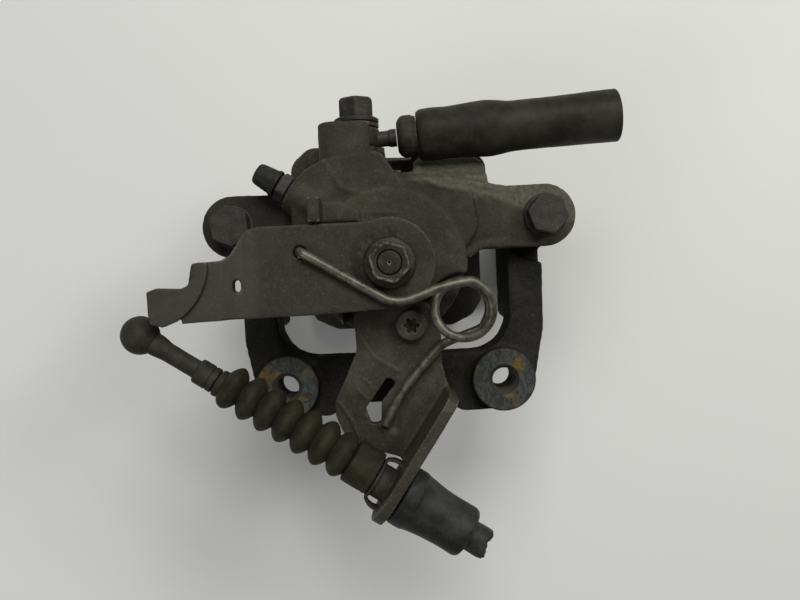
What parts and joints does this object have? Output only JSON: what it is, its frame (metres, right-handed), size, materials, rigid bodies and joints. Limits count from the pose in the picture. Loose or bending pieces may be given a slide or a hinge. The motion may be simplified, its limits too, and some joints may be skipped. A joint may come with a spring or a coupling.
{
  "type": "brake caliper",
  "caption": "Floating rear disc brake caliper with carrier, hand-brake lever, return spring, cable end in a bellows boot, banjo hose stub and bleed screw.",
  "frame": {"origin": "on the surface that the caliper lies on, under the middle of its bounding box", "axes": "+Z along the piston axis towards the inboard side, where the hand-brake lever is; +Y towards the bridge over the disc's edge; +X to the right seen from inboard with the bridge up"},
  "size_m": [0.1807, 0.1662, 0.1304],
  "materials": {
    "housing_casting": "greasy as-cast",
    "carrier_casting": "dark as-cast with machined, slightly rusted bosses",
    "fastener_steel": "dull, worn",
    "ground_steel": "ground",
    "pressed_steel": "dull, dirty",
    "spring_steel": "satin",
    "bearing_bronze": "plain",
    "sealing_copper": "dull",
    "rubber": "matt, dusty"
  },
  "bodies": {
    "carrier": {"carrier_bracket": "carrier_casting", "guide_boot_left": "rubber", "guide_boot_right": "rubber"},
    "caliper": {"caliper_housing": "housing_casting", "guide_pin_left": "ground_steel", "guide_pin_right": "ground_steel", "guide_bolt_left": "fastener_steel", "guide_bolt_right": "fastener_steel", "piston_seal": "rubber", "piston_dust_boot": "rubber", "thrust_washer": "bearing_bronze", "shaft_bush": "bearing_bronze", "shaft_seal": "rubber", "adjuster_spring": "spring_steel", "spring_cup": "pressed_steel", "circlip": "spring_steel", "return_spring": "spring_steel", "cable_bracket": "pressed_steel", "bracket_screw": "fastener_steel", "banjo_bolt": "fastener_steel", "banjo_washer_inner": "sealing_copper", "banjo_washer_outer": "sealing_copper", "hose_fitting": "fastener_steel", "hose_ferrule": "fastener_steel", "brake_hose": "rubber", "hose_sleeve": "rubber", "cable_boot": "rubber", "cable_clip": "pressed_steel", "cable_sleeve": "rubber", "cable_sheath": "rubber"},
    "piston": {"piston": "ground_steel"},
    "lever": {"parking_lever": "pressed_steel", "lever_shaft": "fastener_steel", "lever_nut": "fastener_steel", "ramp_ball_1": "ground_steel", "ramp_ball_2": "ground_steel", "ramp_ball_3": "ground_steel"},
    "spindle": {"adjuster_spindle": "ground_steel", "adjuster_nut": "ground_steel"},
    "cable": {"cable_end": "pressed_steel", "cable_collar": "pressed_steel", "cable_inner_wire": "spring_steel"},
    "bleeder": {"bleed_screw": "fastener_steel", "bleed_cap": "rubber"}
  },
  "joints": [
    {"name": "caliper_slide", "type": "slide", "parent": "carrier", "child": "caliper", "axis": [0, 0, 1], "range_m": [0, 0.01], "deforming": ["guide_boot_left", "guide_boot_right"]},
    {"name": "piston_slide", "type": "slide", "parent": "caliper", "child": "piston", "axis": [0, 0, -1], "range_m": [0, 0.012], "deforming": ["piston_dust_boot"]},
    {"name": "lever_turn", "type": "hinge", "parent": "caliper", "child": "lever", "pos_m": [0.00317, 0.02066, 0.1195], "axis": [0, 0, 1], "range_deg": [0, 18], "stiffness_Nm_per_rad": 1, "springref_deg": -57.3, "deforming": ["return_spring", "cable_boot", "adjuster_spring"]},
    {"name": "spindle_push", "type": "slide", "parent": "caliper", "child": "spindle", "axis": [0, 0, -1], "range_m": [0, 0.0015]},
    {"name": "cable_pull", "type": "slide", "parent": "caliper", "child": "cable", "axis": [0.8325, -0.554, 0], "range_m": [0, 0.0215]},
    {"name": "bleed_turn", "type": "hinge", "parent": "caliper", "child": "bleeder", "pos_m": [-0.03213, 0.04806, 0.102], "axis": [-0.8473, 0.5312, 0], "range_deg": [0, 90]}
  ],
  "couplings": [
    {"joint": "spindle_push", "follows": "lever_turn", "m_per_rad": 0.004},
    {"joint": "cable_pull", "follows": "lever_turn", "m_per_rad": 0.066}
  ]
}
